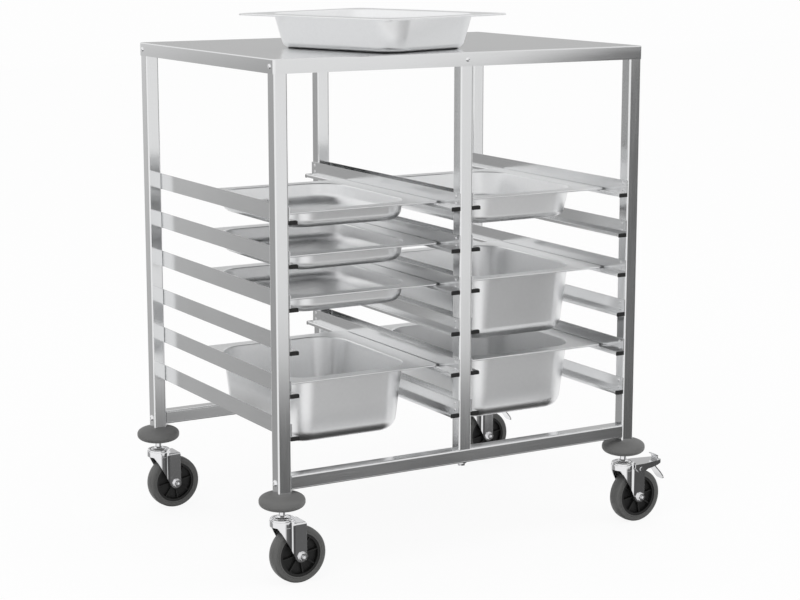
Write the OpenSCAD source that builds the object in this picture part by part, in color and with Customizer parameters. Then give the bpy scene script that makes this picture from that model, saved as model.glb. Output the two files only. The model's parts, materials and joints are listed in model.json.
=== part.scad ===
// Tray trolley: a square-tube frame with two bays of six runner pairs, a folded
// worktop, gastronorm trays and four swivel casters, two of them with brakes.
// +Z is up, the floor is z = 0, the long front faces -Y.

/* [Frame] */
// Depth over the outer faces of the posts
frame_d = 548; // [500:1:700]
// Side of the square tube
tube_w = 25; // [22:0.5:30]
// Wall of the square tube
tube_wall = 1.5; // [1.2:0.1:2.5]
// Outer corner radius of the square tube
tube_r = 3; // [2.6:0.1:4]
// Height of the lower end of the corner posts
foot_z = 160.5; // [159:0.5:164]
// Height of the underside of the two long beams
beam_z = 167; // [165:0.5:185]

/* [Worktop] */
// Height of the working surface
worktop_z = 890.5; // [820:0.5:950]
// Thickness of the folded worktop sheet
sheet_t = 1; // [0.8:0.1:1.5]
// Height of the turned-down edge
flange_h = 24; // [20:0.5:40]
// Gap between the turned-down edge and the posts
flange_gap = 0.5; // [0.4:0.1:1]
// Outer corner radius of the worktop
worktop_r = 5; // [4:0.1:5.2]

/* [Runners] */
// Height of the underside of the lowest runner pair
first_runner_z = 252.5; // [245:0.5:270]
// Vertical distance from one runner pair to the next
runner_pitch = 73.3; // [68:0.1:85]
// Height of a runner's upright web
runner_h = 29; // [27:0.5:34]
// Width of a runner's shelf, web included
shelf_w = 16; // [14:0.5:18]
// Height of a runner's shelf above its underside
shelf_h = 6; // [5:0.1:7.5]
// Thickness of the runner sheet
runner_t = 1.5; // [1.2:0.1:2]
// Length of the plug part of an end cap
cap_plug_l = 12; // [8:0.5:16]
// Length of an end cap that shows
cap_l = 3; // [2:0.5:6]

/* [Trays] */
// Width of a tray over its rim
tray_w = 325; // [300:1:340]
// Length of a tray over its rim
tray_l = 354; // [330:1:400]
// Side gap between a tray rim and a runner web
tray_side_gap = 1.75; // [1.2:0.05:3]
// Distance from the front of the frame to a tray in its place
tray_setback = 64; // [20:1:90]
// Gap between a tray rim and what it rests on
tray_seat_gap = 0.2; // [0.1:0.05:0.3]
// Thickness of the tray sheet
tray_t = 1; // [0.8:0.1:1.2]
// Height of the turned-down rim edge
rim_h = 3; // [2.5:0.1:4]
// Width of the flat rim along the long sides of a tray
side_rim_w = 35; // [32:0.5:38]
// Width of the flat rim along the short ends of a tray
end_rim_w = 23; // [21:0.5:27]
// Corner radius of the rim
rim_r = 12; // [8:0.5:18]
// Corner radius of a basin at the rim
basin_r = 58; // [50:1:70]
// Depth of the three shallow trays
shallow_depth = 34; // [30:1:40]
// Depth of the medium tray
medium_depth = 54; // [48:1:62]
// Depth of the deep trays
deep_depth = 123; // [95:1:125]
// Depth of the tray on the worktop
top_tray_depth = 60; // [50:1:80]
// Turn of the tray on the worktop
top_tray_turn = 19; // [0:1:45]

/* [Casters] */
// Radius of a wheel over its tyre
wheel_r = 50; // [46:0.5:50.5]
// Width of a wheel
wheel_w = 25; // [20:0.5:27]
// Radius of the rim under the tyre
tyre_inner_r = 38; // [36:0.5:40]
// Distance from the swivel axis back to the axle
trail = 28; // [26:0.5:29]
// Distance between the inner faces of the fork legs
fork_gap = 33; // [31:0.5:34]
// Thickness of the pressed fork steel
fork_t = 2.5; // [2:0.1:3]
// Radius of the fork crown
crown_r = 22.5; // [21:0.5:24]
// Height of the deck of a fork
crown_z = 110; // [109.5:0.5:111]
// Radius of the swivel stem
stem_r = 6; // [5:0.1:6.5]
// Radius of the axle sleeve
sleeve_r = 6; // [5.5:0.1:7]
// Radius of the axle bolt
axle_r = 4; // [3:0.1:4.5]
// Running clearance of shafts in their bores
running = 0.05; // [0.03:0.01:0.1]
// Radius of a bearing ball
ball_r = 2; // [1.6:0.1:2.2]
// Radius of a round corner bumper
bumper_r = 40; // [36:0.5:46]
// Height of a bumper from its underside up to the post
bumper_h = 28; // [25:0.5:28.5]
// Reach of a brake lever from the swivel axis
lever_reach = 89; // [86:0.5:96]
// Angle that a brake lever turns through from free to pressed
brake_travel = 9; // [6:0.5:10]

/* [Hidden] */
$fn = 64;
eps = 0.01;
levels = 6;
bay_w = tray_w + 2 * (tray_side_gap + runner_t);
frame_w = 3 * tube_w + 2 * bay_w;
post_x = frame_w / 2 - tube_w / 2;
post_y = frame_d / 2 - tube_w / 2;
tube_in = tube_w - 2 * tube_wall;
// The levers reach further right than the bumpers reach left, so the frame sits left of x = 0.
frame_x = -(lever_reach - bumper_r) / 2;
post_top = worktop_z - sheet_t;
beam_top = beam_z + tube_w;
beam_mid = beam_z + tube_w / 2;
bay_x = (bay_w + tube_w) / 2;
worktop_w = frame_w + 2 * (flange_gap + sheet_t);
worktop_d = frame_d + 2 * (flange_gap + sheet_t);
screw_z = worktop_z - flange_h / 2;
fit_gap = 0.2;

// Rivets, screws and bolts
rivet_r = 2;
rivet_head_r = 2.8;
rivet_head_h = 1.1;
rivet_tail = 1.5;
rivet_low = 11;
rivet_high = 23.5;
screw_r = 2.5;
screw_head_r = 4.2;
screw_head_h = 2.8;
screw_tail = 7;
bolt_r = 4;
bolt_head_r = 5.6;
bolt_head_h = 3.6;
washer_r = 11;
washer_t = 1.6;
hex_r = 7.2;
hex_h = 5;
insert_l = 18;
caster_insert_h = min(16, beam_mid - bolt_r - foot_z - 1.5);

// Tray basins
shallow_bottom_r = 18;
medium_bottom_r = 18;
deep_bottom_r = 27;
top_bottom_r = 14;
lip_r = 3;
shallow_draft = 8;
medium_draft = 12;
deep_draft = 7;
top_draft = 16;
top_tray_x = -78;
top_tray_y = -84;

// Caster heights, from the floor up
nut_h = 6;
crown_under = crown_z - fork_t;
skirt_h = 5.5;
ring_h = 8;
recess_r = 16.8;
recess_z = crown_z + 3.5;
race_gap = 2;
race_z = recess_z + race_gap / 2;
cup_r = 15;
cup_z = recess_z + race_gap;
cup_h = 4;
cup_top = cup_z + cup_h;
bumper_z = foot_z - bumper_h;
stem_bottom = crown_under - nut_h - 2;
stem_top = foot_z + caster_insert_h - 0.5;
race_r = 11;
balls = 12;
leg_y = fork_gap / 2;
leg_w = 21;
leg_end_r = leg_w / 2;
fork_back = trail + leg_end_r - 1.5;
leg_slant = 29;

// Brake lever
lever_t = 2;
lever_z = crown_z + 1.8;
lever_pin_r = 2.5;
lever_pin_z = crown_z - 6;
lever_in = leg_y + fork_t + 0.7;
lever_out = lever_in + lever_t;
pad_gap = 1.4;
pedal_half = 13;

steel = [0.78, 0.79, 0.8];
bright = [0.86, 0.87, 0.88];
tray_steel = [0.82, 0.83, 0.84];
dark_rubber = [0.36, 0.36, 0.35];
black = [0.13, 0.13, 0.13];

function runner_z(level) = first_runner_z + (levels - level) * runner_pitch;
function arc(cx, cy, r, a0, a1, n) =
    [for (i = [0:n]) let (a = a0 + (a1 - a0) * i / n) [cx + r * cos(a), cy + r * sin(a)]];

// A rectangle with round corners, centred
module round_rect(w, d, r) {
    square([w - 2 * r, d], center = true);
    square([w, d - 2 * r], center = true);
    for (x = [-1, 1], y = [-1, 1]) translate([x * (w / 2 - r), y * (d / 2 - r)]) circle(r);
}

// A dome-headed fastener along +X: the head outside x = 0, the shank towards +X
module dome_fastener(head_r, head_h, shank_r, shank_l) {
    rotate([0, 90, 0]) rotate_extrude() polygon(concat(
        [[0, shank_l], [shank_r, shank_l], [shank_r, 0], [head_r, 0]],
        [for (a = [15:15:90]) [head_r * cos(a), -head_h * sin(a)]]));
}

// Square tube standing on z = 0
module tube(length) {
    linear_extrude(length) difference() {
        round_rect(tube_w, tube_w, tube_r);
        round_rect(tube_in, tube_in, tube_r - tube_wall);
    }
}

// Places its children at the two rivets of every runner end on one face of a post.
// side is +1 where the runner stands to the right of the post.
module at_post_rivets(side) {
    for (level = [1:levels], z = [rivet_low, rivet_high])
        translate([side * tube_w / 2, 0, runner_z(level) + z]) children();
}

module post(x, y, z0) {
    middle = x == 0;
    color(steel) translate([frame_x, 0, 0]) difference() {
        translate([x, y, z0]) tube(post_top - z0);
        for (side = [-1, 1]) if (middle || side * x < 0)
            translate([x, y, 0]) at_post_rivets(side)
                rotate([0, 90, 0]) cylinder(r = rivet_r + running, h = 3 * tube_wall, center = true);
        if (middle) {
            translate([x, y + sign(y) * tube_w / 2, screw_z])
                rotate([90, 0, 0]) cylinder(r = screw_r + running, h = 3 * tube_wall, center = true);
        } else {
            translate([x + sign(x) * tube_w / 2, y, screw_z])
                rotate([0, 90, 0]) cylinder(r = screw_r + running, h = 3 * tube_wall, center = true);
            translate([x, y, beam_mid])
                rotate([0, 90, 0]) cylinder(r = bolt_r + running, h = 2 * tube_w, center = true);
        }
    }
}

module beam(y) {
    length = frame_w - 2 * tube_w;
    color(steel) translate([frame_x, y, beam_mid]) difference() {
        translate([-length / 2, 0, 0]) rotate([90, 0, 90]) tube(length);
        cylinder(r = bolt_r + running, h = 2 * tube_w, center = true);
    }
}

module worktop() {
    color(bright) translate([frame_x, 0, 0]) difference() {
        translate([0, 0, worktop_z - flange_h])
            linear_extrude(flange_h) round_rect(worktop_w, worktop_d, worktop_r);
        translate([0, 0, worktop_z - flange_h - eps])
            linear_extrude(flange_h - sheet_t + eps)
                round_rect(worktop_w - 2 * sheet_t, worktop_d - 2 * sheet_t, worktop_r - sheet_t);
        for (x = [-1, 1], y = [-1, 1]) translate([x * worktop_w / 2, y * post_y, screw_z])
            rotate([0, 90, 0]) cylinder(r = screw_r + running, h = 4 * sheet_t, center = true);
        for (y = [-1, 1]) translate([0, y * worktop_d / 2, screw_z])
            rotate([90, 0, 0]) cylinder(r = screw_r + running, h = 4 * sheet_t, center = true);
    }
}

// Cross-section of the left runner of a bay: x from the post, z from its underside
module runner_section() {
    fold_r = 2;
    polygon(concat(
        [[0, 0], [runner_t, 0], [runner_t, shelf_h - runner_t],
         [shelf_w - runner_t, shelf_h - runner_t], [shelf_w - runner_t, 0], [shelf_w, 0]],
        arc(shelf_w - fold_r, shelf_h - fold_r, fold_r, 0, 90, 5),
        [[runner_t, shelf_h], [runner_t, runner_h], [0, runner_h]]));
}

module runner() {
    shelf_l = frame_d - 2 * cap_l;
    difference() {
        union() {
            translate([0, -frame_d / 2, shelf_h]) cube([runner_t, frame_d, runner_h - shelf_h]);
            translate([0, shelf_l / 2, 0]) rotate([90, 0, 0]) linear_extrude(shelf_l) runner_section();
        }
        for (y = [-post_y, post_y], z = [rivet_low, rivet_high]) translate([0, y, z])
            rotate([0, 90, 0]) cylinder(r = rivet_r + running, h = 4 * runner_t, center = true);
    }
}

// One level of one bay: a runner on each side, facing each other
module runner_pair(bay, level) {
    color(steel) translate([frame_x + bay * bay_x, 0, runner_z(level)])
        for (side = [0, 1]) mirror([side, 0, 0]) translate([-bay_w / 2, 0, 0]) runner();
}

// End cap on the front end of the left runner of a bay: a block flush with the shelf, and a plug
module end_cap() {
    round_r = 2.5;
    drop = 1;
    plug_w = shelf_w - 2 * runner_t - 2 * fit_gap;
    translate([0, -frame_d / 2 + cap_l, 0]) {
        rotate([90, 0, 0]) linear_extrude(cap_l) polygon(concat(
            [[0, -drop], [shelf_w, -drop]],
            arc(shelf_w - round_r, shelf_h - round_r, round_r, 0, 90, 5),
            [[0, shelf_h]]));
        translate([runner_t + fit_gap, -eps, 0])
            cube([plug_w, cap_plug_l + eps, shelf_h - runner_t - fit_gap]);
    }
}

module runner_end_caps() {
    color(black) for (bay = [-1, 1], level = [1:levels], side = [0, 1], back = [0, 1])
        translate([frame_x + bay * bay_x, 0, runner_z(level)])
            mirror([0, back, 0]) mirror([side, 0, 0]) translate([-bay_w / 2, 0, 0]) end_cap();
}

module runner_rivets() {
    shank = runner_t + tube_wall + rivet_tail;
    color(bright) for (bay = [-1, 1], level = [1:levels], side = [0, 1], y = [-post_y, post_y])
        for (z = [rivet_low, rivet_high])
            translate([frame_x + bay * bay_x, y, runner_z(level) + z]) mirror([side, 0, 0])
                translate([-bay_w / 2 + runner_t, 0, 0]) mirror([1, 0, 0])
                    dome_fastener(rivet_head_r, rivet_head_h, rivet_r, shank);
}

module worktop_screws() {
    color(bright) translate([frame_x, 0, screw_z]) {
        for (side = [0, 1], y = [-post_y, post_y]) mirror([side, 0, 0])
            translate([-worktop_w / 2, y, 0])
                dome_fastener(screw_head_r, screw_head_h, screw_r, screw_tail);
        for (turn = [90, -90]) rotate(turn) translate([-worktop_d / 2, 0, 0])
            dome_fastener(screw_head_r, screw_head_h, screw_r, screw_tail);
    }
}

module beam_bolts() {
    reach = insert_l - 2;
    color(bright) translate([frame_x, 0, 0]) {
        for (side = [0, 1], y = [-post_y, post_y]) mirror([side, 0, 0])
            translate([-frame_w / 2, y, beam_mid])
                dome_fastener(bolt_head_r, bolt_head_h, bolt_r, tube_w + reach);
        for (y = [-post_y, post_y]) translate([0, y, beam_z - washer_t]) {
            translate([0, 0, -hex_h]) cylinder(r = hex_r, h = hex_h + eps, $fn = 6);
            cylinder(r = washer_r, h = washer_t);
            cylinder(r = bolt_r, h = washer_t + tube_w + reach);
        }
    }
}

// A block that fits inside the tube, with the thread for a bolt or a stem
module tube_insert(length, bore_r) {
    w = tube_in - 2 * fit_gap;
    linear_extrude(length) difference() {
        square(w, center = true);
        circle(bore_r);
        for (x = [-1, 1], y = [-1, 1]) translate([x * w / 2, y * w / 2])
            rotate(45) square(2.4, center = true);
    }
}

module tube_end_inserts() {
    color(bright) translate([frame_x, 0, 0]) {
        for (side = [0, 1], y = [-post_y, post_y]) mirror([side, 0, 0])
            translate([-frame_w / 2 + tube_w, y, beam_mid])
                rotate([90, 0, 90]) tube_insert(insert_l, bolt_r + running);
        for (y = [-post_y, post_y]) translate([0, y, beam_top])
            tube_insert(insert_l, bolt_r + running);
    }
}

module at_corners() {
    for (x = [-post_x, post_x], y = [-post_y, post_y]) translate([frame_x + x, y, 0]) children();
}

module caster_inserts() {
    color(bright) at_corners() translate([0, 0, foot_z])
        tube_insert(caster_insert_h, stem_r + running);
}

// A round cushion of rubber: a flattened ball with a full edge, cut flat under the post and
// around the stem
module corner_bumpers() {
    half_h = 0.54 * bumper_h;
    mid = 0.515 * bumper_h;
    full = 0.8;
    low = -asin(pow(mid / half_h, 1 / full));
    high = asin(pow((bumper_h - mid) / half_h, 1 / full));
    color(dark_rubber) at_corners() translate([0, 0, bumper_z]) rotate_extrude($fn = 96)
        polygon(concat(
            [[stem_r + running, 0]],
            [for (i = [0:20]) let (a = low + (high - low) * i / 20)
                [bumper_r * pow(cos(a), full), mid + half_h * sign(a) * pow(abs(sin(a)), full)]],
            [[stem_r + running, bumper_h]]));
}

module caster_stems() {
    color(bright) at_corners() {
        translate([0, 0, stem_bottom]) cylinder(r = stem_r, h = stem_top - stem_bottom);
        translate([0, 0, cup_top]) cylinder(r1 = stem_r + 3, r2 = stem_r + 1.5, h = 3);
    }
}

// The groove that the balls run in, as a cutting ring
module ball_groove() {
    translate([0, 0, race_z]) rotate_extrude()
        translate([race_r, 0]) circle(ball_r + fit_gap, $fn = 24);
}

// The upper race: a low dish that sits in the recess of the crown ring
module caster_race_cups() {
    color(bright) at_corners() difference() {
        translate([0, 0, cup_z]) rotate_extrude() polygon(concat(
            [[stem_r + running, 0], [cup_r, 0]],
            arc(cup_r - 1.5, 1.8, 1.5, 0, 70, 4),
            [[stem_r + 5, cup_h], [stem_r + running, cup_h]]));
        ball_groove();
    }
}

module caster_race_balls() {
    color(bright) at_corners() for (i = [0:balls - 1])
        rotate(360 * i / balls) translate([race_r, 0, race_z]) sphere(ball_r, $fn = 24);
}

module kingpin_nuts() {
    color(bright) at_corners() translate([0, 0, crown_under - nut_h - 0.3]) difference() {
        cylinder(r = 10, h = nut_h, $fn = 6);
        translate([0, 0, -1]) cylinder(r = stem_r + running, h = nut_h + 2);
    }
}

// A hole through both legs of a fork, along Y
module cross_bore(x, z, r) {
    translate([x, 0, z]) rotate([90, 0, 0]) cylinder(r = r, h = 4 * crown_r, center = true);
}

// Extrudes a side view (x, z) from y0 to y1
module across(y0, y1) {
    translate([0, y1, 0]) rotate([90, 0, 0]) linear_extrude(y1 - y0) children();
}

// Extrudes a front view (y, z) from x0 to x1
module along(x0, x1) {
    translate([x0, 0, 0]) rotate([90, 0, 90]) linear_extrude(x1 - x0) children();
}

// Plan of the fork shell, drawn in by an inset: a round crown that blends into two straight
// legs. The inset plan is open at the back.
module fork_plan(inset) {
    half = leg_y + fork_t - inset;
    back = fork_back + (inset > 0 ? 1 : 0);
    blend = 20 + inset;
    blend_y = half + blend;
    blend_x = sqrt(pow(crown_r - inset + blend, 2) - pow(blend_y, 2));
    turn = atan2(blend_y, blend_x);
    neck_y = (crown_r - inset) * sin(turn);
    circle(crown_r - inset);
    polygon(concat(
        [[0, -neck_y]], arc(blend_x, -blend_y, blend, 180 - turn, 90, 4),
        [[back, -half], [back, half]], arc(blend_x, blend_y, blend, 270, 180 + turn, 4),
        [[0, neck_y]]));
}

// Side view of the fork: a slanted front edge down to a round end at the axle
module fork_side() {
    end_x = fork_back - leg_end_r;
    foot = [end_x - leg_end_r * cos(leg_slant), wheel_r - leg_end_r * sin(leg_slant)];
    knee_z = crown_z - skirt_h;
    knee_x = foot[0] - (knee_z - foot[1]) * tan(leg_slant);
    round_r = 3;
    translate([end_x, wheel_r]) circle(leg_end_r);
    polygon(concat(
        [foot, [fork_back, wheel_r]], arc(fork_back - round_r, crown_z - round_r, round_r, 0, 90, 5),
        [[-crown_r - 1, crown_z], [-crown_r - 1, knee_z], [knee_x - 2.5, knee_z],
         [knee_x - 0.8, knee_z - 0.6], [knee_x + 1, knee_z - 2.2]]));
}

// Front view of the fork: the deck rounds over into the legs
module fork_front() {
    round_r = 3.5;
    half = leg_y + fork_t;
    polygon(concat(
        [[-crown_r - 1, 0], [crown_r + 1, 0], [crown_r + 1, crown_z - 2 * round_r]],
        arc(half - round_r, crown_z - round_r, round_r, 0, 90, 5),
        arc(round_r - half, crown_z - round_r, round_r, 90, 180, 5),
        [[-crown_r - 1, crown_z - 2 * round_r]]));
}

// The raised ring around the crown, with a step in its outside
module crown_ring() {
    shoulder_r = 2;
    out = crown_r - 1.2;
    rotate_extrude() polygon(concat(
        [[0, crown_under], [crown_r - fork_t, crown_under], [crown_r - fork_t, crown_z - skirt_h],
         [crown_r, crown_z - skirt_h], [crown_r, crown_z + 1.5], [crown_r - 0.6, crown_z + 4],
         [crown_r - 1.8, crown_z + 4], [crown_r - 1.8, crown_z + 4.8], [out, crown_z + 4.8]],
        arc(out - shoulder_r, crown_z + ring_h - shoulder_r, shoulder_r, 0, 90, 5),
        [[0, crown_z + ring_h]]));
}

module fork() {
    color(bright) difference() {
        union() {
            difference() {
                intersection() {
                    linear_extrude(crown_z) fork_plan(0);
                    across(-2 * crown_r, 2 * crown_r) fork_side();
                    along(-2 * crown_r, 2 * fork_back) fork_front();
                }
                linear_extrude(crown_under) fork_plan(fork_t);
            }
            crown_ring();
        }
        translate([0, 0, recess_z]) cylinder(r = recess_r, h = ring_h);
        translate([0, 0, crown_under - 1]) cylinder(r = stem_r + running, h = ring_h);
        ball_groove();
        cross_bore(trail, wheel_r, axle_r + running);
    }
}

module braked_fork() {
    difference() {
        fork();
        cross_bore(trail, lever_pin_z, lever_pin_r + running);
    }
}

// Bolt, nut and the sleeve that the wheel turns on. The end of the bolt is hollow.
module axle() {
    head_h = 5.5;
    flange_t = 1.5;
    out = leg_y + fork_t;
    end_y = out + head_h + 1;
    color(bright) translate([trail, 0, wheel_r]) rotate([90, 0, 0]) {
        difference() {
            translate([0, 0, -out - head_h]) {
                cylinder(r = hex_r, h = head_h, $fn = 6);
                translate([0, 0, head_h - flange_t]) cylinder(r = hex_r + 1, h = flange_t);
                cylinder(r = axle_r, h = out + head_h + end_y);
            }
            translate([0, 0, end_y - 4]) cylinder(r = axle_r - 1.3, h = 5);
        }
        difference() {
            translate([0, 0, out]) {
                cylinder(r = hex_r, h = head_h, $fn = 6);
                cylinder(r = hex_r + 1, h = flange_t);
            }
            cylinder(r = axle_r + running, h = end_y);
        }
        difference() {
            cylinder(r = sleeve_r, h = fork_gap - 2 * fit_gap, center = true);
            cylinder(r = axle_r + running, h = fork_gap, center = true);
        }
    }
}

module hub() {
    barrel_r = sleeve_r + 6.5;
    barrel_y = leg_y - 0.7;
    rim_in = tyre_inner_r - 4.5;
    rim_y = wheel_w / 2 - 1;
    web_y = 4;
    rib_y = rim_y - 2.5;
    rib_t = 2.4;
    color(black) translate([trail, 0, wheel_r]) rotate([90, 0, 0]) difference() {
        union() {
            rotate_extrude($fn = 96) polygon([
                [0, -barrel_y], [barrel_r - 1, -barrel_y], [barrel_r, 1 - barrel_y],
                [barrel_r, -web_y], [rim_in, -web_y], [rim_in, -rim_y], [tyre_inner_r, -rim_y],
                [tyre_inner_r, rim_y], [rim_in, rim_y], [rim_in, web_y], [barrel_r, web_y],
                [barrel_r, barrel_y - 1], [barrel_r - 1, barrel_y], [0, barrel_y]]);
            for (i = [0:7]) rotate(45 * i + 10) translate([barrel_r - 1, -rib_t / 2, -rib_y])
                cube([rim_in - barrel_r + 2, rib_t, 2 * rib_y]);
        }
        cylinder(r = sleeve_r + running, h = fork_gap + 1, center = true);
    }
}

module tyre() {
    edge_r = 4.5;
    half = wheel_w / 2;
    shoulder = wheel_r - edge_r - 0.6;
    inner = tyre_inner_r + running;
    color(dark_rubber) translate([trail, 0, wheel_r]) rotate([90, 0, 0]) rotate_extrude($fn = 96)
        polygon(concat([[inner, -half]],
            arc(shoulder, edge_r - half, edge_r, -90, -12, 6),
            [[wheel_r - 0.1, -4], [wheel_r, -2], [wheel_r, 2], [wheel_r - 0.1, 4]],
            arc(shoulder, half - edge_r, edge_r, 12, 90, 6),
            [[inner, half]]));
}

// Height of the underside of the brake pad, so that the full travel stops just off the tyre
function pad_z(from_axle) = wheel_r + sqrt(wheel_r * wheel_r - from_axle * from_axle)
    + from_axle * tan(brake_travel) + pad_gap;

// The foot pedal: a curved tongue with a round end
module pedal() {
    tip_r = 8;
    intersection() {
        across(-pedal_half, pedal_half) polygon([
            [lever_reach - 29, lever_z + 0.5], [lever_reach - 19.5, crown_z - 9.5],
            [lever_reach - 10, crown_z - 20], [lever_reach - 4, crown_z - 28],
            [lever_reach, crown_z - 35.5], [lever_reach - 1.8, crown_z - 36.4],
            [lever_reach - 5.7, crown_z - 29.1], [lever_reach - 11.6, crown_z - 21.3],
            [lever_reach - 21.1, crown_z - 10.9], [lever_reach - 31.5, lever_z + 0.5]]);
        along(0, 2 * lever_reach) translate([0, crown_z - 36.5]) {
            translate([-pedal_half, tip_r]) square([2 * pedal_half, crown_z]);
            translate([tip_r - pedal_half, 0]) square([2 * (pedal_half - tip_r), crown_z]);
            for (y = [tip_r - pedal_half, pedal_half - tip_r]) translate([y, tip_r]) circle(tip_r);
        }
    }
}

// The release flap: it stands up from the plate and leans back, and is widest at its top
module release_flap() {
    flap_x = lever_reach - 14;
    top = crown_z + 14;
    intersection() {
        across(-pedal_half, pedal_half) polygon([
            [flap_x + 1, lever_z], [flap_x, crown_z + 7.5], [flap_x - 1.4, crown_z + 11],
            [flap_x - 4.6, top], [flap_x - 5.8, top - 1.6], [flap_x - 3.2, crown_z + 10],
            [flap_x - 2, crown_z + 7.2], [flap_x - 1, lever_z]]);
        along(0, 2 * lever_reach) polygon([
            [-9, lever_z], [9, lever_z], [9, crown_z + 9], [12, crown_z + 10.5],
            [12, top - 1], [10.5, top], [-10.5, top], [-12, top - 1], [-12, crown_z + 10.5],
            [-9, crown_z + 9]]);
    }
}

// A folded lever over the fork: top plate, side flanges, brake pad, release flap and pedal
module brake_lever() {
    taper_x = trail + 8;
    tip_x = lever_reach - 8;
    tip_half = 12.5;
    back_x = 14;
    top_z = lever_z + lever_t;
    pad_from = 16;
    pad_to = 26;
    color(bright) difference() {
        union() {
            intersection() {
                union() {
                    translate([back_x, -lever_out, lever_z])
                        cube([tip_x - back_x, 2 * lever_out, lever_t]);
                    difference() {
                        across(-lever_out, lever_out) polygon([
                            [back_x, top_z], [tip_x, top_z], [tip_x, crown_z - 0.5],
                            [tip_x - 3, crown_z - 3], [tip_x - 11, crown_z - 5.5],
                            [trail + 26, crown_z - 7.5], [trail + 16, crown_z - 8],
                            [trail + 9, crown_z - 11], [trail, crown_z - 12.5],
                            [trail - 7, crown_z - 11], [back_x, crown_z - 4]]);
                        linear_extrude(lever_z) polygon([
                            [0, -lever_in], [taper_x, -lever_in],
                            [tip_x - lever_t, lever_t - tip_half], [tip_x - lever_t, tip_half - lever_t],
                            [taper_x, lever_in], [0, lever_in]]);
                    }
                }
                linear_extrude(2 * crown_z) difference() {
                    polygon([[back_x, -lever_out], [taper_x, -lever_out], [tip_x - 3, -tip_half - 0.5],
                             [tip_x - 1, -tip_half + 0.5], [tip_x, -tip_half + 2.5],
                             [tip_x, tip_half - 2.5], [tip_x - 1, tip_half - 0.5],
                             [tip_x - 3, tip_half + 0.5], [taper_x, lever_out], [back_x, lever_out]]);
                    circle(crown_r + 1);
                }
            }
            across(-9, 9) polygon([
                [trail + pad_from, lever_z + 0.5], [trail + pad_to, lever_z + 0.5],
                [trail + pad_to, pad_z(pad_to)], [trail + pad_from, pad_z(pad_from)]]);
            release_flap();
            pedal();
        }
        cross_bore(trail, lever_pin_z, lever_pin_r + running);
    }
}

module brake_pin() {
    head_t = 1.1;
    head_y = lever_out + 0.1;
    color(bright) translate([trail, 0, lever_pin_z]) rotate([90, 0, 0]) {
        cylinder(r = lever_pin_r, h = 2 * (head_y + head_t), center = true);
        for (side = [0, 1]) mirror([0, 0, side]) translate([0, 0, head_y])
            cylinder(r = lever_pin_r + 1.5, h = head_t);
    }
}

// Puts a caster part under a corner: side is -1 left, 1 right; face is -1 front, 1 rear
module on_corner(side, face) {
    translate([frame_x + side * post_x, face * post_y, 0]) children();
}

// Cross-section of a pressed basin from the axis of its corner outwards. z = 0 is the top of
// the rim. The wall leans out by the draft and rolls over into the rim at x = basin_r.
module basin_section(depth, bend, draft) {
    floor_z = bend - depth;
    foot_x = basin_r + ((floor_z + lip_r) * sin(draft) - (lip_r - tray_t + bend)) / cos(draft);
    polygon(concat(
        [[0, -depth]],
        arc(foot_x, floor_z, bend, -90, -draft, 6),
        arc(basin_r, -lip_r, lip_r - tray_t, 180 - draft, 90, 4),
        [[basin_r + 1, -tray_t], [basin_r + 1, 0]],
        arc(basin_r, -lip_r, lip_r, 90, 180 - draft, 4),
        arc(foot_x, floor_z, bend - tray_t, -draft, -90, 6),
        [[0, tray_t - depth]]));
}

// A gastronorm tray around x = y = 0, its long side along Y, the top of its rim at z = 0
module tray(depth, bend, draft, $fn = 96) {
    half_x = tray_w / 2 - side_rim_w - basin_r;
    half_y = tray_l / 2 - end_rim_w - basin_r;
    color(tray_steel) {
        translate([0, 0, -tray_t]) linear_extrude(tray_t) difference() {
            round_rect(tray_w, tray_l, rim_r);
            round_rect(tray_w - 2 * side_rim_w, tray_l - 2 * end_rim_w, basin_r);
        }
        translate([0, 0, -rim_h]) linear_extrude(rim_h) difference() {
            round_rect(tray_w, tray_l, rim_r);
            round_rect(tray_w - 2 * tray_t, tray_l - 2 * tray_t, rim_r - tray_t);
        }
        translate([-half_x, -half_y, -depth]) cube([2 * half_x, 2 * half_y, tray_t]);
        for (i = [0:3]) {
            reach = i % 2 == 0 ? half_x : half_y;
            half_side = i % 2 == 0 ? half_y : half_x;
            rotate(90 * i) translate([reach, half_side, 0]) {
                rotate_extrude(angle = 90) basin_section(depth, bend, draft);
                rotate([90, 0, 0]) linear_extrude(2 * half_side) basin_section(depth, bend, draft);
            }
        }
    }
}

module bay_tray(bay, level, depth, bend, draft) {
    translate([frame_x + bay * bay_x, tray_setback + (tray_l - frame_d) / 2,
               runner_z(level) + shelf_h + tray_seat_gap + rim_h]) tray(depth, bend, draft);
}

module shallow_tray(level) {
    bay_tray(-1, level, shallow_depth, shallow_bottom_r, shallow_draft);
}

module deep_tray(bay, level) {
    bay_tray(bay, level, deep_depth, deep_bottom_r, deep_draft);
}

module worktop_tray() {
    translate([frame_x + top_tray_x, top_tray_y, worktop_z + tray_seat_gap + top_tray_depth])
        rotate(top_tray_turn) tray(top_tray_depth, top_bottom_r, top_draft);
}

worktop();
post(-post_x, -post_y, foot_z);  // front_left_post
post(0, -post_y, beam_top);  // front_middle_post
post(post_x, -post_y, foot_z);  // front_right_post
post(-post_x, post_y, foot_z);  // rear_left_post
post(0, post_y, beam_top);  // rear_middle_post
post(post_x, post_y, foot_z);  // rear_right_post
beam(-post_y);  // front_beam
beam(post_y);  // rear_beam
runner_pair(-1, 1);  // left_bay_runners_1
runner_pair(-1, 2);  // left_bay_runners_2
runner_pair(-1, 3);  // left_bay_runners_3
runner_pair(-1, 4);  // left_bay_runners_4
runner_pair(-1, 5);  // left_bay_runners_5
runner_pair(-1, 6);  // left_bay_runners_6
runner_pair(1, 1);  // right_bay_runners_1
runner_pair(1, 2);  // right_bay_runners_2
runner_pair(1, 3);  // right_bay_runners_3
runner_pair(1, 4);  // right_bay_runners_4
runner_pair(1, 5);  // right_bay_runners_5
runner_pair(1, 6);  // right_bay_runners_6
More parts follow.
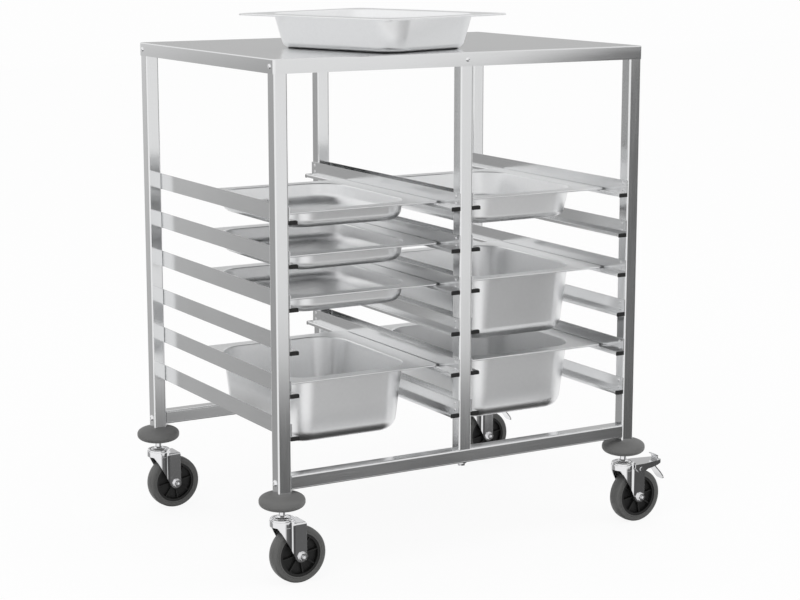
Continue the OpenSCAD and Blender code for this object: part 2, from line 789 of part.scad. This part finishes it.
runner_end_caps();
runner_rivets();
worktop_screws();
beam_bolts();
tube_end_inserts();
caster_inserts();
corner_bumpers();
caster_stems();
caster_race_cups();
caster_race_balls();
kingpin_nuts();
on_corner(-1, -1) fork();  // front_left_fork
on_corner(-1, -1) axle();  // front_left_axle
on_corner(-1, -1) hub();  // front_left_hub
on_corner(-1, -1) tyre();  // front_left_tyre
on_corner(-1, 1) fork();  // rear_left_fork
on_corner(-1, 1) axle();  // rear_left_axle
on_corner(-1, 1) hub();  // rear_left_hub
on_corner(-1, 1) tyre();  // rear_left_tyre
on_corner(1, -1) braked_fork();  // front_right_fork
on_corner(1, -1) axle();  // front_right_axle
on_corner(1, -1) hub();  // front_right_hub
on_corner(1, -1) tyre();  // front_right_tyre
on_corner(1, -1) brake_lever();  // front_right_brake_lever
on_corner(1, -1) brake_pin();  // front_right_brake_pin
on_corner(1, 1) braked_fork();  // rear_right_fork
on_corner(1, 1) axle();  // rear_right_axle
on_corner(1, 1) hub();  // rear_right_hub
on_corner(1, 1) tyre();  // rear_right_tyre
on_corner(1, 1) brake_lever();  // rear_right_brake_lever
on_corner(1, 1) brake_pin();  // rear_right_brake_pin
shallow_tray(1);  // left_tray_1
shallow_tray(2);  // left_tray_2
shallow_tray(3);  // left_tray_3
deep_tray(-1, 5);  // left_tray_5
bay_tray(1, 1, medium_depth, medium_bottom_r, medium_draft);  // right_tray_1
deep_tray(1, 3);  // right_tray_3
deep_tray(1, 5);  // right_tray_5
worktop_tray();
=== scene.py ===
"""A steel trolley: a folded worktop on square posts, two bays of tray runners, pressed
gastronorm trays and swivel casters with round bumpers above them."""
import json
from math import cos, pi, radians, sin

import bmesh
import bpy
import numpy as np
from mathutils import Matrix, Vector

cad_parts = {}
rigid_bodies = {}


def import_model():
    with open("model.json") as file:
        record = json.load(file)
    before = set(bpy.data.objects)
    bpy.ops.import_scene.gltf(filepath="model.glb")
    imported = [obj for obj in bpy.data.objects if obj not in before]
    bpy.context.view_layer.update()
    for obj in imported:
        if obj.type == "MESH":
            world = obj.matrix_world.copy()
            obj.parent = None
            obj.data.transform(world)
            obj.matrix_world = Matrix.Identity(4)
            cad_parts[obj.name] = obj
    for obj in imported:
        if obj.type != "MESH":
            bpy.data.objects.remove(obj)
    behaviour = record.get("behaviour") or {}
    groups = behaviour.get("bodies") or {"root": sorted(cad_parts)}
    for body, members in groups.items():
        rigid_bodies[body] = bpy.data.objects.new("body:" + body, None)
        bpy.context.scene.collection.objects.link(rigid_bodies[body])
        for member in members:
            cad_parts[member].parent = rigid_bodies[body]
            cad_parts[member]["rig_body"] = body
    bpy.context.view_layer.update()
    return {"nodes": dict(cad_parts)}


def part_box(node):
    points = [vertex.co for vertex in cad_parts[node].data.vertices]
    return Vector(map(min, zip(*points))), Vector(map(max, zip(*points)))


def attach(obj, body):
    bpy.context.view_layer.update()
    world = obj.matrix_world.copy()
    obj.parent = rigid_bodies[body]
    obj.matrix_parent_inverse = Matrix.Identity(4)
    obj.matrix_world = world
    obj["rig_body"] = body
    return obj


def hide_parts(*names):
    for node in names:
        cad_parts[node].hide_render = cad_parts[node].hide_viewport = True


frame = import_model()

MM = 0.001

# The camera: where the photograph was taken from, how far it looks to the right of straight
# in and down from level, and its lens and sensor in mm
CAMERA_PLACE = (-1834.5 * MM, -3153.9 * MM, 1102.3 * MM)
CAMERA_TURN = radians(30.21)
CAMERA_DIP = radians(10.69)
LENS = 89.27
SENSOR_WIDTH = 36.0

# Sheet metal: its wall, the bends of the worktop, and points along each quarter bend
SHEET = 1.0 * MM
FOLD_R = 2.0 * MM
FOLD_STEPS = 6
WORKTOP_CORNER = 5.0 * MM
CORNER_STEPS = 15

# Trays: the flat rim with its turned-down edge, and the basin inside it
TRAY_SIZE = (325.0 * MM, 354.0 * MM)
RIM_H = 3.0 * MM
SIDE_RIM = 35.0 * MM
END_RIM = 23.0 * MM
RIM_R = 12.0 * MM
RIM_EDGE = 1.3 * MM
RIM_EDGE_STEPS = 5
BASIN_R = 58.0 * MM
LIP_R = 3.0 * MM
LIP_STEPS = 6
BOTTOM_STEPS = 10
LOOSE_TRAY_TURN = radians(19)

# Each tray: bottom bend radius in mm and draft of its wall in degrees
TRAY_FORMS = {
    "left_tray_1": (18, 8), "left_tray_2": (18, 8), "left_tray_3": (18, 8),
    "left_tray_5": (27, 7), "right_tray_1": (18, 12), "right_tray_3": (27, 7),
    "right_tray_5": (27, 7), "worktop_tray": (14, 16),
}

# Tyres: the rounded edge ends a little short of the tread, which bulges from there to its middle
WHEEL_R = 50.0 * MM
WHEEL_HALF_W = 12.5 * MM
TYRE_INNER_R = 38.1 * MM
TYRE_EDGE_R = 4.5 * MM
TYRE_EDGE_END = radians(-12)
TYRE_EDGE_STEPS = 7
TYRE_SHOULDER_DROP = 0.6 * MM
TREAD_HALF_W = 2.0 * MM
SEAM_HALF_W = 0.5 * MM
SEAM_DEPTH = 0.15 * MM
SIDE_GROOVE_R = 41.0 * MM
SIDE_GROOVE_W = 1.2 * MM
SIDE_GROOVE_DEPTH = 0.5 * MM

# Bumpers: the hole for the stem, the power that makes the edge full, half the height of the ball
# and the height of its middle as shares of the bumper's height, and the half angle in radians of
# the line round it
STEM_R = 6.1 * MM
BUMPER_FULL = 0.8
BUMPER_HALF_H = 0.54
BUMPER_MIDDLE = 0.515
BUMPER_LINE = 0.04
BUMPER_STEPS = 16

ROUND_STEPS = 96
CORNERS = ("front_left", "front_right", "rear_left", "rear_right")

# Shading and edges: angles in degrees over which an edge stays sharp or is eased, the angle up to
# which faces count as flat, and the distance at which points are joined
SHEET_SHARP = 40
ROUND_SHARP = 32
EASED_OVER = 38
EASED_SEGMENTS = 2
FLAT_WITHIN = 0.5
JOIN_WITHIN = 0.01 * MM


def node_middle(node):
    """Middle of a node's box and the height of its top."""
    low, high = (np.array(corner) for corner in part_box(node))
    return (low + high) / 2, high[2]


def grid_faces(rows, cols):
    """Quads over rows of points that each close into a ring."""
    row, col = np.meshgrid(np.arange(rows - 1), np.arange(cols), indexing="ij")
    here = row * cols + col
    beside = row * cols + (col + 1) % cols
    return np.stack([here, beside, beside + cols, here + cols], -1).reshape(-1, 4)


def add_piece(name, mesh, material, body, sharp=SHEET_SHARP):
    """A mesh as a piece riding on a body, shaded smooth but for edges sharper than an angle."""
    mesh.polygons.foreach_set("use_smooth", np.ones(len(mesh.polygons), bool))
    mesh.set_sharp_from_angle(angle=radians(sharp))
    mesh.materials.clear()
    mesh.materials.append(material)
    piece = bpy.data.objects.new(name, mesh)
    bpy.context.scene.collection.objects.link(piece)
    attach(piece, body)
    return piece


def flat_faces(piece):
    """Keeps flat faces looking flat beside rounded ones."""
    flat = piece.modifiers.new("flat faces", "WEIGHTED_NORMAL")
    flat.keep_sharp = True


def rounded_ring(half_x, half_y, corner, z):
    """Points round a rectangle whose corners are quarter circles, anticlockwise seen from above."""
    quarter = np.linspace(0, pi / 2, CORNER_STEPS)
    angle = np.concatenate([quarter + k * pi / 2 for k in range(4)])
    side_x = np.repeat([1, -1, -1, 1], CORNER_STEPS)
    side_y = np.repeat([1, 1, -1, -1], CORNER_STEPS)
    x = side_x * (half_x - corner) + corner * np.cos(angle)
    y = side_y * (half_y - corner) + corner * np.sin(angle)
    return np.column_stack([x, y, np.full(len(x), z)])


def inset_rings(half_x, half_y, corner, insets, heights):
    """Rings of one rounded rectangle, each drawn in by an inset at its own height."""
    return [rounded_ring(half_x - inset, half_y - inset, corner - inset, z)
            for inset, z in zip(insets, heights)]


def pan(name, rings, turn, place, material, body):
    """A pressed sheet: rings joined from the outside in, the last one closed by a flat floor,
    turned about the vertical and moved to its place, with the wall of the sheet below it."""
    points = np.concatenate(rings)
    spun = points.copy()
    spun[:, 0] = points[:, 0] * cos(turn) - points[:, 1] * sin(turn)
    spun[:, 1] = points[:, 0] * sin(turn) + points[:, 1] * cos(turn)
    cols = len(rings[0])
    last = (len(rings) - 1) * cols
    faces = grid_faces(len(rings), cols).tolist() + [list(range(last, last + cols))]
    mesh = bpy.data.meshes.new(name)
    mesh.from_pydata((spun + place).tolist(), [], faces)
    piece = add_piece(name, mesh, material, body)
    wall = piece.modifiers.new("wall", "SOLIDIFY")
    wall.thickness = SHEET
    wall.offset = -1
    flat_faces(piece)
    return piece


def tray_rings(depth, bend, draft):
    """The upper face of a tray: up the turned-down edge, over the flat rim, round the lip,
    down the drafted wall and round the bottom bend. Each bend is a circle arc tangent to both."""
    half_x, half_y = TRAY_SIZE[0] / 2, TRAY_SIZE[1] / 2
    over = np.linspace(0, pi / 2, RIM_EDGE_STEPS)
    rings = inset_rings(half_x, half_y, RIM_R,
                        np.append(0, RIM_EDGE * (1 - np.cos(over))),
                        np.append(-RIM_H, RIM_EDGE * (np.sin(over) - 1)))
    lip = np.linspace(0, pi / 2 - draft, LIP_STEPS)
    foot = (LIP_R - SHEET + bend - (bend - depth + LIP_R) * sin(draft)) / cos(draft)
    inner = bend - SHEET
    turn = np.linspace(-draft, -pi / 2, BOTTOM_STEPS)
    insets = np.concatenate([LIP_R * np.sin(lip), foot - inner * np.cos(turn)])
    heights = np.concatenate([LIP_R * (np.cos(lip) - 1), bend - depth + inner * np.sin(turn)])
    return rings + inset_rings(half_x - SIDE_RIM, half_y - END_RIM, BASIN_R, insets, heights)


def add_trays(material):
    """A pressed tray at the place, and with the depth, of each tray's solid."""
    for node, (bend, draft) in TRAY_FORMS.items():
        middle, top = node_middle(node)
        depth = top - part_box(node)[0][2]
        turn = LOOSE_TRAY_TURN if node == "worktop_tray" else 0
        rings = tray_rings(depth, bend * MM, radians(draft))
        piece = pan(node + "_pressed", rings, turn, np.array([middle[0], middle[1], top]),
                    material, node + "_body")
        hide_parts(node)


def add_worktop(material):
    """The worktop sheet: up its edge, over a rounded fold and across the top."""
    low, high = (np.array(corner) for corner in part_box("worktop"))
    half = (high - low) / 2
    over = np.linspace(0, pi / 2, FOLD_STEPS)
    rings = inset_rings(half[0], half[1], WORKTOP_CORNER,
                        np.append(0, FOLD_R * (1 - np.cos(over))),
                        np.append(low[2] - high[2], FOLD_R * (np.sin(over) - 1)))
    middle = (low + high) / 2
    piece = pan("folded_worktop", rings, 0, np.array([middle[0], middle[1], high[2]]),
                material, "frame")
    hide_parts("worktop")


def turned(profile, centre, upright):
    """Points and faces of a closed profile of radii and heights turned about a line through
    the centre: each point runs round a circle of its radius. The line is upright or along y."""
    angle = np.linspace(0, 2 * pi, ROUND_STEPS, endpoint=False)
    across = profile[:, :1] * np.cos(angle)
    other = profile[:, :1] * np.sin(angle)
    along = np.repeat(profile[:, 1:], ROUND_STEPS, axis=1)
    order = (across, other, along) if upright else (across, along, -other)
    points = np.stack(order, -1).reshape(-1, 3) + centre
    faces = grid_faces(len(profile), ROUND_STEPS)
    return points, faces


def tyre_profile():
    """From the inner edge out over one side wall with its groove, round the shoulder, over the
    tread with a shallow line where the mould halves met, and back down the other side."""
    edge = np.linspace(-pi / 2, TYRE_EDGE_END, TYRE_EDGE_STEPS)
    shoulder = WHEEL_R - TYRE_EDGE_R - TYRE_SHOULDER_DROP
    corner_r = shoulder + TYRE_EDGE_R * np.cos(edge)
    corner_y = TYRE_EDGE_R - WHEEL_HALF_W + TYRE_EDGE_R * np.sin(edge)
    groove = np.array([-1, -0.6, 0, 0.6, 1]) * SIDE_GROOVE_W / 2
    dip = np.array([0, 0.8, 1, 0.8, 0]) * SIDE_GROOVE_DEPTH
    radii = np.concatenate([[TYRE_INNER_R], SIDE_GROOVE_R + groove, corner_r,
                            [WHEEL_R, WHEEL_R, WHEEL_R - SEAM_DEPTH]])
    sides = np.concatenate([[-WHEEL_HALF_W], dip - WHEEL_HALF_W, corner_y,
                            [-TREAD_HALF_W, -SEAM_HALF_W, 0]])
    half = np.column_stack([radii, sides])
    back = half[-2::-1] * [1, -1]
    return np.concatenate([half, back, half[:1]])


def bumper_profile(height, radius):
    """A flattened ball with a full edge, cut flat below and above: radius and height follow the
    cosine and sine of an angle raised to a power below one, with a shallow line round its middle."""
    half_h = BUMPER_HALF_H * height
    mid = BUMPER_MIDDLE * height
    low = -np.arcsin((mid / half_h) ** (1 / BUMPER_FULL))
    high = np.arcsin(((height - mid) / half_h) ** (1 / BUMPER_FULL))
    angle = np.concatenate([np.linspace(low, -BUMPER_LINE, BUMPER_STEPS), [0],
                            np.linspace(BUMPER_LINE, high, BUMPER_STEPS)])
    radii = radius * np.cos(angle) ** BUMPER_FULL
    radii[BUMPER_STEPS] -= SEAM_DEPTH
    heights = mid + half_h * np.sign(angle) * np.abs(np.sin(angle)) ** BUMPER_FULL
    bulge = np.column_stack([radii, heights])
    return np.concatenate([[[STEM_R, 0]], bulge, [[STEM_R, height], [STEM_R, 0]]])


def tidy_mesh(mesh, flatten=False):
    """Joins points that lie together, and the triangles of each flat face if asked."""
    form = bmesh.new()
    form.from_mesh(mesh)
    bmesh.ops.remove_doubles(form, verts=form.verts, dist=JOIN_WITHIN)
    if flatten:
        bmesh.ops.dissolve_limit(form, angle_limit=radians(FLAT_WITHIN), verts=form.verts,
                                 edges=form.edges)
    bmesh.ops.recalc_face_normals(form, faces=form.faces)
    form.to_mesh(mesh)
    form.free()


def add_turned(name, rounds, material, body, node):
    """One piece made of one or more turned rings."""
    points = np.concatenate([ring[0] for ring in rounds])
    starts = np.cumsum([0] + [len(ring[0]) for ring in rounds[:-1]])
    faces = np.concatenate([ring[1] + start for ring, start in zip(rounds, starts)])
    mesh = bpy.data.meshes.new(name)
    mesh.from_pydata(points.tolist(), [], faces.tolist())
    tidy_mesh(mesh)
    piece = add_piece(name, mesh, material, body, ROUND_SHARP)
    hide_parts(node)


def add_tyres_and_bumpers(tyre_material, bumper_material):
    """A turned tyre on each wheel, and the four bumpers as one piece below the corner posts."""
    for corner in CORNERS:
        node = corner + "_tyre"
        middle, _ = node_middle(node)
        add_turned(corner + "_rubber_tyre", [turned(tyre_profile(), middle, False)],
                   tyre_material, frame["nodes"][node]["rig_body"], node)
    low, high = (np.array(corner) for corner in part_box("corner_bumpers"))
    height = high[2] - low[2]
    places = [node_middle(corner + "_post")[0] for corner in CORNERS]
    radius = places[0][0] - low[0]
    profile = bumper_profile(height, radius)
    rounds = [turned(profile, np.array([place[0], place[1], low[2]]), True) for place in places]
    add_turned("rubber_corner_bumpers", rounds, bumper_material, "frame",
               "corner_bumpers")


def ease(node, material, edge):
    """The node's own form with its edges rounded over by a width in mm, as on real parts."""
    solid = frame["nodes"][node]
    mesh = solid.data.copy()
    for layer in ("custom_normal", "sharp_edge"):
        if layer in mesh.attributes:
            mesh.attributes.remove(mesh.attributes[layer])
    tidy_mesh(mesh, flatten=True)
    piece = add_piece(node + "_eased", mesh, material, solid["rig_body"],
                      ROUND_SHARP)
    rounding = piece.modifiers.new("eased edges", "BEVEL")
    rounding.width = edge * MM
    rounding.segments = EASED_SEGMENTS
    rounding.limit_method = "ANGLE"
    rounding.angle_limit = radians(EASED_OVER)
    flat_faces(piece)
    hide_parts(node)


# Materials

# The scale and detail of each noise, how much a colour varies, and how high the grain of metal
# and the pebbles of rubber and plastic stand, in metres
GRAIN_DETAIL = 3.0
CLOUD_SCALE = 7.0
CLOUD_DETAIL = 2.0
CLOUD_SHARE = 0.4
NOISE_LOW, NOISE_HIGH = 0.3, 0.7
GRAIN_BUMP = 0.006
GRAIN_HEIGHT = 0.0002
METAL_SPREAD = 0.05
PEBBLE_DETAIL = 4.0
PEBBLE_HEIGHT = 0.0003
MOULDED_SPREAD = 0.15


def new_material(name):
    """A material of its own, with its nodes and links."""
    material = bpy.data.materials.new(name)
    material.use_nodes = True
    return material, material.node_tree.nodes, material.node_tree.links


def noise(nodes, links, where, scale, detail):
    """The value of a noise texture read at the points given."""
    texture = nodes.new("ShaderNodeTexNoise")
    texture.inputs["Scale"].default_value = scale
    texture.inputs["Detail"].default_value = detail
    links.new(where, texture.inputs["Vector"])
    return texture.outputs["Fac"]


def make_grain_group():
    """Fine lines and slow clouding: noise stretched along one direction, as a roughness, a height
    and a mask for the colour."""
    tree = bpy.data.node_groups.new("brushed grain", "ShaderNodeTree")
    face = tree.interface
    face.new_socket("Stretch", in_out="INPUT", socket_type="NodeSocketVector")
    face.new_socket("Smooth", in_out="INPUT", socket_type="NodeSocketFloat")
    face.new_socket("Rough", in_out="INPUT", socket_type="NodeSocketFloat")
    face.new_socket("Roughness", in_out="OUTPUT", socket_type="NodeSocketFloat")
    face.new_socket("Height", in_out="OUTPUT", socket_type="NodeSocketFloat")
    face.new_socket("Mask", in_out="OUTPUT", socket_type="NodeSocketFloat")
    nodes, links = tree.nodes, tree.links
    ins, outs = nodes.new("NodeGroupInput"), nodes.new("NodeGroupOutput")
    where = nodes.new("ShaderNodeTexCoord")
    stretch = nodes.new("ShaderNodeVectorMath")
    stretch.operation = "MULTIPLY"
    links.new(where.outputs["Object"], stretch.inputs[0])
    links.new(ins.outputs["Stretch"], stretch.inputs[1])
    lines = noise(nodes, links, stretch.outputs[0], 1.0, GRAIN_DETAIL)
    clouds = noise(nodes, links, where.outputs["Object"], CLOUD_SCALE, CLOUD_DETAIL)
    mixed = nodes.new("ShaderNodeMix")
    mixed.inputs["Factor"].default_value = CLOUD_SHARE
    links.new(lines, mixed.inputs["A"])
    links.new(clouds, mixed.inputs["B"])
    spread = nodes.new("ShaderNodeMapRange")
    spread.inputs["From Min"].default_value = NOISE_LOW
    spread.inputs["From Max"].default_value = NOISE_HIGH
    links.new(mixed.outputs["Result"], spread.inputs["Value"])
    links.new(ins.outputs["Smooth"], spread.inputs["To Min"])
    links.new(ins.outputs["Rough"], spread.inputs["To Max"])
    links.new(spread.outputs[0], outs.inputs["Roughness"])
    links.new(lines, outs.inputs["Height"])
    links.new(mixed.outputs["Result"], outs.inputs["Mask"])
    return tree


def two_tones(nodes, links, mask, colour, spread, shader):
    """Colours a shader from a little darker to a little lighter than a colour, by a mask."""
    tint = nodes.new("ShaderNodeMix")
    tint.data_type = "RGBA"
    tint.inputs["A"].default_value = (*[(1 - spread) * c for c in colour], 1)
    tint.inputs["B"].default_value = (*[(1 + spread) * c for c in colour], 1)
    links.new(mask, tint.inputs["Factor"])
    links.new(tint.outputs["Result"], shader.inputs["Base Color"])


def raise_surface(nodes, links, height, strength, distance, shader):
    """Fine relief on a shader from a height, as bump."""
    raised = nodes.new("ShaderNodeBump")
    raised.inputs["Strength"].default_value = strength
    raised.inputs["Distance"].default_value = distance
    links.new(height, raised.inputs["Height"])
    links.new(raised.outputs["Normal"], shader.inputs["Normal"])


def metal(name, colour, stretch, smooth, rough):
    """Bare metal with a brushed grain along the direction whose stretch is smallest."""
    material, nodes, links = new_material(name)
    shader = nodes["Principled BSDF"]
    shader.inputs["Metallic"].default_value = 1.0
    lines = nodes.new("ShaderNodeGroup")
    lines.node_tree = grain
    lines.inputs["Stretch"].default_value = stretch
    lines.inputs["Smooth"].default_value = smooth
    lines.inputs["Rough"].default_value = rough
    links.new(lines.outputs["Roughness"], shader.inputs["Roughness"])
    two_tones(nodes, links, lines.outputs["Mask"], colour, METAL_SPREAD, shader)
    raise_surface(nodes, links, lines.outputs["Height"], GRAIN_BUMP, GRAIN_HEIGHT, shader)
    return material


def moulded(name, colour, rough, speckle, bump):
    """Rubber or plastic: a fine pebbled skin with slightly uneven colour."""
    material, nodes, links = new_material(name)
    shader = nodes["Principled BSDF"]
    shader.inputs["Roughness"].default_value = rough
    where = nodes.new("ShaderNodeTexCoord")
    pebbles = noise(nodes, links, where.outputs["Object"], speckle, PEBBLE_DETAIL)
    two_tones(nodes, links, pebbles, colour, MOULDED_SPREAD, shader)
    raise_surface(nodes, links, pebbles, bump, PEBBLE_HEIGHT, shader)
    return material


# Colours, and the scale of the brushed grain across and along its lines
STEEL = (0.84, 0.845, 0.85)
TRAY_STEEL = (0.92, 0.925, 0.93)
PLATED = (0.86, 0.86, 0.87)
TYRE_GREY = (0.09, 0.09, 0.088)
BUMPER_GREY = (0.125, 0.125, 0.123)
BLACK = (0.005, 0.005, 0.005)
ACROSS, ALONG = 1400, 14

# Metals: colour, scale of the grain along x, y and z, least and most roughness.
# Moulded ones: colour, roughness, scale of the pebbles and strength of their relief
grain = make_grain_group()
upright_steel = metal("brushed steel upright", STEEL, (ACROSS, ACROSS, ALONG), 0.09, 0.15)
long_steel = metal("brushed steel along the front", STEEL, (ALONG, ACROSS, ACROSS), 0.1, 0.16)
deep_steel = metal("brushed steel along the runners", STEEL, (ACROSS, ALONG, ACROSS), 0.15, 0.21)
pressed_steel = metal("pressed tray steel", TRAY_STEEL, (160, 160, 160), 0.3, 0.36)
bright_metal = metal("bright plated steel", PLATED, (300, 300, 300), 0.08, 0.12)
chrome = metal("chrome plated steel", PLATED, (120, 120, 120), 0.04, 0.08)
tyre_rubber = moulded("grey tyre rubber", TYRE_GREY, 0.4, 900, 0.1)
bumper_rubber = moulded("grey bumper rubber", BUMPER_GREY, 0.5, 900, 0.12)
black_plastic = moulded("black plastic", BLACK, 0.55, 1400, 0.1)

# Part of a node's name, the finish of such nodes, and by how many mm their edges are eased.
# The first that fits a name counts
NODE_FINISHES = [
    ("_post", upright_steel, 0), ("_beam", long_steel, 0), ("_runners_", deep_steel, 0.4),
    ("runner_end_caps", black_plastic, 0.3), ("runner_rivets", bright_metal, 0),
    ("_screws", bright_metal, 0), ("_bolts", bright_metal, 0.3), ("_inserts", bright_metal, 0),
    ("caster_race_balls", bright_metal, 0), ("caster_", chrome, 0.3), ("kingpin", bright_metal, 0),
    ("_fork", chrome, 0.4), ("_axle", chrome, 0.3), ("_hub", black_plastic, 0.3),
    ("_lever", chrome, 0.4), ("_pin", bright_metal, 0),
]


def finish_nodes():
    """Eases the edges of the nodes that have a width for it, and gives the others their finish."""
    for node, solid in frame["nodes"].items():
        for part, finish, edge in NODE_FINISHES:
            if part in node:
                if edge:
                    ease(node, finish, edge)
                else:
                    for slot in solid.material_slots:
                        slot.material = finish
                break


finish_nodes()
add_tyres_and_bumpers(tyre_rubber, bumper_rubber)
add_trays(pressed_steel)
add_worktop(long_steel)


# Stage, light and camera

# The floor's half size in metres, its tone and roughness, how much of it the camera sees as
# plain white, and the white behind it
FLOOR_REACH = 12.0
FLOOR_TONE = 0.85
FLOOR_ROUGH = 0.9
FLOOR_GLOW = 0.9
FAR_WHITE = 0.985

# Each lamp: its place and size in metres and its power in watts. Both look at one point
KEY_LIGHT = ((-2.2, -1.6, 3.0), 1.8, 25)
FILL_LIGHT = ((2.4, -2.4, 2.2), 2.4, 10)
LAMP_AIM = (0, 0, 0.5)

# What shiny metal reflects: a bright room with sides of other tones, and an even tone for soft
# light. Each side: azimuth from the front towards the right and elevation of its middle, the
# angles from there where it is full and where it ends, all in degrees, and its tone
ROOM_TONE = 0.84
SOFT_TONE = 0.97
ROOM_SIDES = [
    (0, -90, 75.5, 78.5, 0.12),
    (0, -90, 60, 68, 0.8),
    (-80, -15, 72, 92, 0.95),
    (140, -15, 68, 84, 0.9),
    (0, -90, 38, 54, 0.04),
    (222, -14, 15, 26, 0.34),
    (150, 9, 14, 22, 0.5),
    (50, -9, 13.5, 16.5, 0.08),
]


def add_floor():
    """A pale floor that the camera sees almost white, and that keeps the trolley's shadow."""
    mesh = bpy.data.meshes.new("floor")
    points = [(x * FLOOR_REACH, y * FLOOR_REACH, 0) for x, y in [(-1, -1), (1, -1), (1, 1), (-1, 1)]]
    mesh.from_pydata(points, [], [(0, 1, 2, 3)])
    material, nodes, links = new_material("pale floor")
    shader = nodes["Principled BSDF"]
    shader.inputs["Base Color"].default_value = (FLOOR_TONE, FLOOR_TONE, FLOOR_TONE, 1)
    shader.inputs["Roughness"].default_value = FLOOR_ROUGH
    shader.inputs["Specular IOR Level"].default_value = 0.0
    glow = nodes.new("ShaderNodeEmission")
    glow.inputs["Color"].default_value = (1, 1, 1, 1)
    blend = nodes.new("ShaderNodeMixShader")
    path = nodes.new("ShaderNodeLightPath")
    share = nodes.new("ShaderNodeMath")
    share.operation = "MULTIPLY"
    share.inputs[1].default_value = FLOOR_GLOW
    links.new(path.outputs["Is Camera Ray"], share.inputs[0])
    links.new(share.outputs[0], blend.inputs["Fac"])
    links.new(shader.outputs[0], blend.inputs[1])
    links.new(glow.outputs[0], blend.inputs[2])
    links.new(blend.outputs[0], nodes["Material Output"].inputs["Surface"])
    mesh.materials.append(material)
    floor = bpy.data.objects.new("floor", mesh)
    bpy.context.scene.collection.objects.link(floor)
    floor.visible_glossy = False


def add_lamp(name, place, size, watts):
    """A square soft lamp that looks at the trolley and isn't mirrored in it."""
    lamp = bpy.data.lights.new(name, "AREA")
    lamp.shape = "SQUARE"
    lamp.size = size
    lamp.energy = watts
    holder = bpy.data.objects.new(name, lamp)
    holder.location = place
    aim = Vector(LAMP_AIM) - Vector(place)
    holder.rotation_euler = aim.to_track_quat("-Z", "Y").to_euler()
    holder.visible_glossy = False
    bpy.context.scene.collection.objects.link(holder)


def room_tone(nodes, links):
    """The tone of the reflected room: each side is mixed in by the angle from its middle."""
    where = nodes.new("ShaderNodeTexCoord")
    tone = None
    for azimuth, elevation, full, end, side_tone in ROOM_SIDES:
        turn, lift = radians(azimuth), radians(elevation)
        lean = nodes.new("ShaderNodeVectorMath")
        lean.operation = "DOT_PRODUCT"
        lean.inputs[1].default_value = (sin(turn) * cos(lift), -cos(turn) * cos(lift), sin(lift))
        links.new(where.outputs["Generated"], lean.inputs[0])
        share = nodes.new("ShaderNodeMapRange")
        share.interpolation_type = "SMOOTHSTEP"
        share.inputs["From Min"].default_value = cos(radians(end))
        share.inputs["From Max"].default_value = cos(radians(full))
        links.new(lean.outputs["Value"], share.inputs["Value"])
        mixed = nodes.new("ShaderNodeMix")
        mixed.inputs["A"].default_value = ROOM_TONE
        mixed.inputs["B"].default_value = side_tone
        links.new(share.outputs[0], mixed.inputs["Factor"])
        if tone:
            links.new(tone, mixed.inputs["A"])
        tone = mixed.outputs["Result"]
    return tone


def set_world():
    """White to the camera, an even grey for soft light, and the room for reflections."""
    world = bpy.data.worlds.new("studio")
    bpy.context.scene.world = world
    world.use_nodes = True
    nodes, links = world.node_tree.nodes, world.node_tree.links
    nodes.clear()
    out = nodes.new("ShaderNodeOutputWorld")
    room = nodes.new("ShaderNodeBackground")
    links.new(room_tone(nodes, links), room.inputs["Color"])
    even = nodes.new("ShaderNodeBackground")
    even.inputs["Color"].default_value = (SOFT_TONE, SOFT_TONE, SOFT_TONE, 1)
    white = nodes.new("ShaderNodeBackground")
    white.inputs["Color"].default_value = (FAR_WHITE, FAR_WHITE, FAR_WHITE, 1)
    path = nodes.new("ShaderNodeLightPath")
    first, second = nodes.new("ShaderNodeMixShader"), nodes.new("ShaderNodeMixShader")
    links.new(path.outputs["Is Glossy Ray"], first.inputs["Fac"])
    links.new(even.outputs[0], first.inputs[1])
    links.new(room.outputs[0], first.inputs[2])
    links.new(path.outputs["Is Camera Ray"], second.inputs["Fac"])
    links.new(first.outputs[0], second.inputs[1])
    links.new(white.outputs[0], second.inputs[2])
    links.new(second.outputs[0], out.inputs["Surface"])


add_floor()
set_world()
add_lamp("key light", *KEY_LIGHT)
add_lamp("fill light", *FILL_LIGHT)

camera = bpy.data.objects.new("camera", bpy.data.cameras.new("camera"))
camera.data.lens = LENS
camera.data.sensor_width = SENSOR_WIDTH
camera.location = CAMERA_PLACE
camera.rotation_euler = (pi / 2 - CAMERA_DIP, 0, -CAMERA_TURN)
bpy.context.scene.collection.objects.link(camera)
bpy.context.scene.camera = camera
bpy.context.scene.view_settings.view_transform = "Standard"
